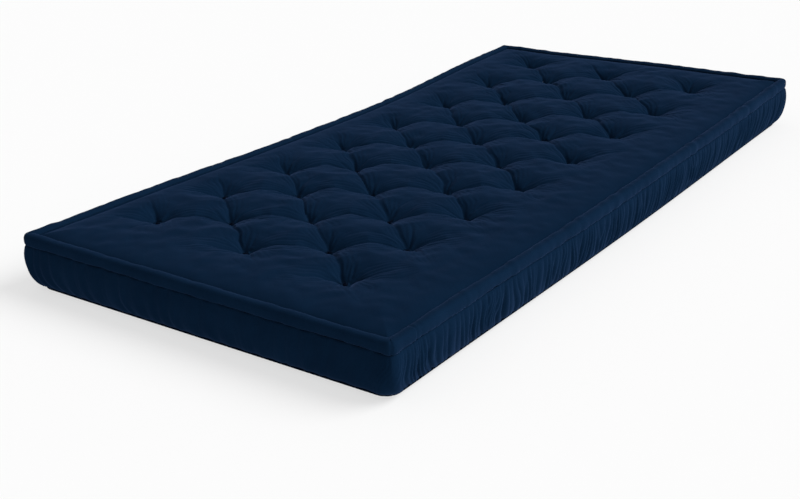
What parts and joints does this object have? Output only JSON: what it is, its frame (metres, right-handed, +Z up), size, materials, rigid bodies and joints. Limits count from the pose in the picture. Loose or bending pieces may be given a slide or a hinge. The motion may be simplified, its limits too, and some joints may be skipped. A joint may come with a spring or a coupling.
{
  "type": "futon mattress",
  "caption": "Flat rectangular tufted cotton futon mattress with a stuffed rolled top edge, a gathered side band and a crown of padded diamonds between tied tufts.",
  "frame": {"origin": "middle of the underside, on the floor", "axes": "+Z up; +Y along the length, towards the head end; +X to the right when looking from the foot towards the head"},
  "size_m": [0.9, 1.9, 0.12],
  "materials": {
    "casing_cloth": "navy brushed cotton drill, matt with a short soft nap",
    "side_band_cloth": "navy brushed cotton drill, gathered",
    "edge_trim_cloth": "navy brushed cotton drill, sewn over a stuffed roll",
    "cotton_felt": "undyed carded cotton felt",
    "latex_foam": "cream latex foam, matt",
    "tuft_twine": "waxed navy twine with small felt rosettes"
  },
  "bodies": {
    "root": {"top_panel": "casing_cloth", "base_panel": "casing_cloth", "upper_cotton_batt": "cotton_felt", "latex_core": "latex_foam", "lower_cotton_batt": "cotton_felt", "side_band_foot": "side_band_cloth", "side_band_right": "side_band_cloth", "side_band_head": "side_band_cloth", "side_band_left": "side_band_cloth", "edge_roll_foot": "edge_trim_cloth", "edge_roll_right": "edge_trim_cloth", "edge_roll_head": "edge_trim_cloth", "edge_roll_left": "edge_trim_cloth", "base_cord_foot": "edge_trim_cloth", "base_cord_right": "edge_trim_cloth", "base_cord_head": "edge_trim_cloth", "base_cord_left": "edge_trim_cloth", "tuft_tie_01": "tuft_twine", "tuft_tie_02": "tuft_twine", "tuft_tie_03": "tuft_twine", "tuft_tie_04": "tuft_twine", "tuft_tie_05": "tuft_twine", "tuft_tie_06": "tuft_twine", "tuft_tie_07": "tuft_twine", "tuft_tie_08": "tuft_twine", "tuft_tie_09": "tuft_twine", "tuft_tie_10": "tuft_twine", "tuft_tie_11": "tuft_twine", "tuft_tie_12": "tuft_twine", "tuft_tie_13": "tuft_twine", "tuft_tie_14": "tuft_twine", "tuft_tie_15": "tuft_twine", "tuft_tie_16": "tuft_twine", "tuft_tie_17": "tuft_twine", "tuft_tie_18": "tuft_twine", "tuft_tie_19": "tuft_twine", "tuft_tie_20": "tuft_twine", "tuft_tie_21": "tuft_twine", "tuft_tie_22": "tuft_twine", "tuft_tie_23": "tuft_twine", "tuft_tie_24": "tuft_twine", "tuft_tie_25": "tuft_twine", "tuft_tie_26": "tuft_twine", "tuft_tie_27": "tuft_twine", "tuft_tie_28": "tuft_twine", "tuft_tie_29": "tuft_twine", "tuft_tie_30": "tuft_twine", "tuft_tie_31": "tuft_twine", "tuft_tie_32": "tuft_twine", "tuft_tie_33": "tuft_twine", "tuft_tie_34": "tuft_twine", "tuft_tie_35": "tuft_twine", "tuft_tie_36": "tuft_twine", "tuft_tie_37": "tuft_twine", "tuft_tie_38": "tuft_twine"}
  },
  "joints": []
}
